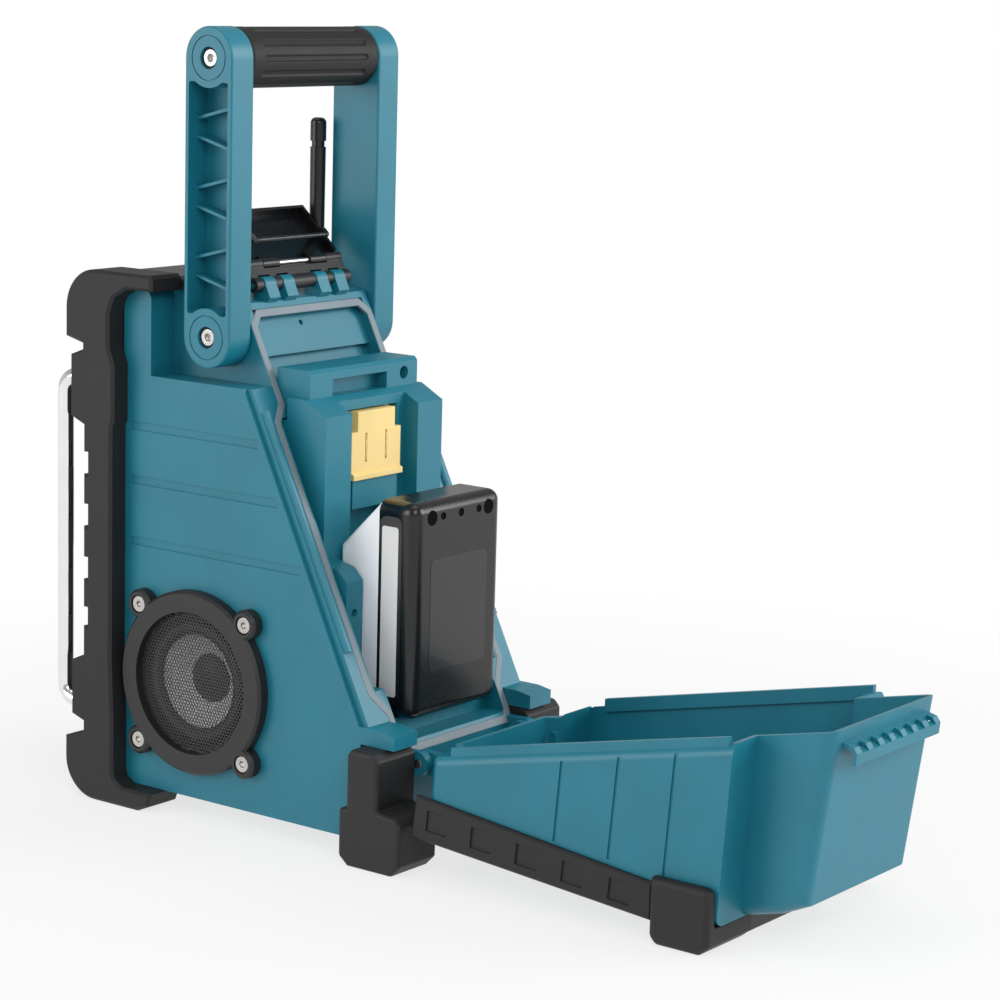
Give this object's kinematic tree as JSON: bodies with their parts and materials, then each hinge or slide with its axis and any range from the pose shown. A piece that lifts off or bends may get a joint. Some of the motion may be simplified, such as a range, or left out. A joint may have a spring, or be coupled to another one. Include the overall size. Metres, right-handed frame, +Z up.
{
  "type": "jobsite radio",
  "caption": "Rugged jobsite radio with side loudspeakers, folding carry handle, rubber bumpers and a rear battery bay whose hinged cover stands open.",
  "frame": {"origin": "on the floor, at the centre of the box round the radio with its cover open and handle up", "axes": "+Z up, display faces -Y, battery cover opens towards +Y, right-hand loudspeaker faces +X"},
  "size_m": [0.163, 0.4941, 0.4311],
  "materials": {
    "teal_plastic": "fine texture, satin",
    "black_plastic": "satin",
    "black_rubber": "matt",
    "grip_rubber": "ribbed, matt",
    "chrome_bar": "polished",
    "steel": "bright",
    "grille_steel": "black, perforated",
    "driver_frame": "black",
    "cone_paper": "matt",
    "lens": "clear window",
    "display": "liquid crystal",
    "board": "glass-fibre board",
    "button_grey": "satin",
    "yellow_plastic": "satin",
    "brass_blade": "bright",
    "seal_grey": "soft foam rubber",
    "white_label": "satin film",
    "grey_plastic": "satin",
    "gloss_black": "gloss",
    "cell_metal": "sleeved"
  },
  "bodies": {
    "housing": {"antenna_base": "black_plastic", "antenna_rod": "gloss_black", "aux_jack": "black_plastic", "battery_holder": "teal_plastic", "circuit_board": "board", "cover_gasket": "seal_grey", "display_lens": "lens", "display_module": "display", "front_bumper_left": "black_rubber", "front_bumper_right": "black_rubber", "front_panel": "black_plastic", "guard_bar_left": "chrome_bar", "guard_bar_right": "chrome_bar", "handle_pivot_screws": "steel", "handle_pivot_sleeves": "steel", "latch_hinge_rod": "steel", "main_housing": "teal_plastic", "power_jack": "black_plastic", "rear_foot_left": "black_rubber", "rear_foot_right": "black_rubber", "speaker_basket_left": "driver_frame", "speaker_basket_right": "driver_frame", "speaker_cone_left": "cone_paper", "speaker_cone_right": "cone_paper", "speaker_grille_left": "grille_steel", "speaker_grille_right": "grille_steel", "speaker_ring_left": "black_plastic", "speaker_ring_right": "black_plastic", "speaker_screws": "steel", "terminal_blades": "brass_blade", "terminal_block": "yellow_plastic"},
    "handle": {"handle_arm_right": "teal_plastic", "handle_arm_left": "teal_plastic", "handle_grip": "grip_rubber", "handle_core": "steel", "handle_grip_screws": "steel"},
    "cover": {"battery_cover": "teal_plastic", "cover_rail_right": "black_rubber", "cover_rail_left": "black_rubber", "cover_foot_right": "black_rubber", "cover_foot_left": "black_rubber", "cover_cross_bar": "black_plastic", "cover_hinge_pins": "steel"},
    "link": {"latch_link": "black_plastic", "latch_pin": "steel"},
    "lever": {"latch_lever": "black_plastic"},
    "battery": {"battery_case": "black_plastic", "battery_cap": "grey_plastic", "battery_cells": "cell_metal", "battery_side_labels": "white_label"},
    "release": {"battery_release_button": "grey_plastic"},
    "dial": {"tuning_dial": "black_plastic"},
    "key_preset_1": {"button_preset_1": "button_grey"},
    "key_preset_2": {"button_preset_2": "button_grey"},
    "key_preset_3": {"button_preset_3": "button_grey"},
    "key_preset_4": {"button_preset_4": "button_grey"},
    "key_power": {"button_power": "button_grey"},
    "key_band": {"button_band": "button_grey"},
    "key_volume_down": {"button_volume_down": "button_grey"},
    "key_volume_up": {"button_volume_up": "button_grey"}
  },
  "joints": [
    {"name": "handle_swing", "type": "hinge", "parent": "housing", "child": "handle", "pos_m": [0, -0.14415, 0.2668], "axis": [-1, 0, 0], "range_deg": [0, 84]},
    {"name": "cover_hinge", "type": "hinge", "parent": "housing", "child": "cover", "pos_m": [0, -0.01015, 0.0529], "axis": [1, 0, 0], "range_deg": [0, 104]},
    {"name": "latch_link_hinge", "type": "hinge", "parent": "housing", "child": "link", "pos_m": [0, -0.13815, 0.293], "axis": [-1, 0, 0], "range_deg": [0, 106]},
    {"name": "latch_lever_hinge", "type": "hinge", "parent": "link", "child": "lever", "pos_m": [0, -0.14433, 0.30329], "axis": [-1, 0, 0], "range_deg": [0, 34]},
    {"name": "battery_slide", "type": "slide", "parent": "housing", "child": "battery", "axis": [0, 0, 1], "range_m": [0, 0.05]},
    {"name": "release_press", "type": "slide", "parent": "battery", "child": "release", "axis": [0, 1, 0], "range_m": [0, 0.002], "stiffness_N_per_m": 600, "springref_m": -0.0005},
    {"name": "dial_turn", "type": "hinge", "parent": "housing", "child": "dial", "pos_m": [0, -0.23015, 0.15], "axis": [0, -1, 0], "continuous": true},
    {"name": "press_preset_1", "type": "slide", "parent": "housing", "child": "key_preset_1", "axis": [0, 1, 0], "range_m": [0, 0.0012], "stiffness_N_per_m": 600, "springref_m": -0.0003},
    {"name": "press_preset_2", "type": "slide", "parent": "housing", "child": "key_preset_2", "axis": [0, 1, 0], "range_m": [0, 0.0012], "stiffness_N_per_m": 600, "springref_m": -0.0003},
    {"name": "press_preset_3", "type": "slide", "parent": "housing", "child": "key_preset_3", "axis": [0, 1, 0], "range_m": [0, 0.0012], "stiffness_N_per_m": 600, "springref_m": -0.0003},
    {"name": "press_preset_4", "type": "slide", "parent": "housing", "child": "key_preset_4", "axis": [0, 1, 0], "range_m": [0, 0.0012], "stiffness_N_per_m": 600, "springref_m": -0.0003},
    {"name": "press_power", "type": "slide", "parent": "housing", "child": "key_power", "axis": [0, 1, 0], "range_m": [0, 0.0012], "stiffness_N_per_m": 600, "springref_m": -0.0003},
    {"name": "press_band", "type": "slide", "parent": "housing", "child": "key_band", "axis": [0, 1, 0], "range_m": [0, 0.0012], "stiffness_N_per_m": 600, "springref_m": -0.0003},
    {"name": "press_volume_down", "type": "slide", "parent": "housing", "child": "key_volume_down", "axis": [0, 1, 0], "range_m": [0, 0.0012], "stiffness_N_per_m": 600, "springref_m": -0.0003},
    {"name": "press_volume_up", "type": "slide", "parent": "housing", "child": "key_volume_up", "axis": [0, 1, 0], "range_m": [0, 0.0012], "stiffness_N_per_m": 600, "springref_m": -0.0003}
  ]
}
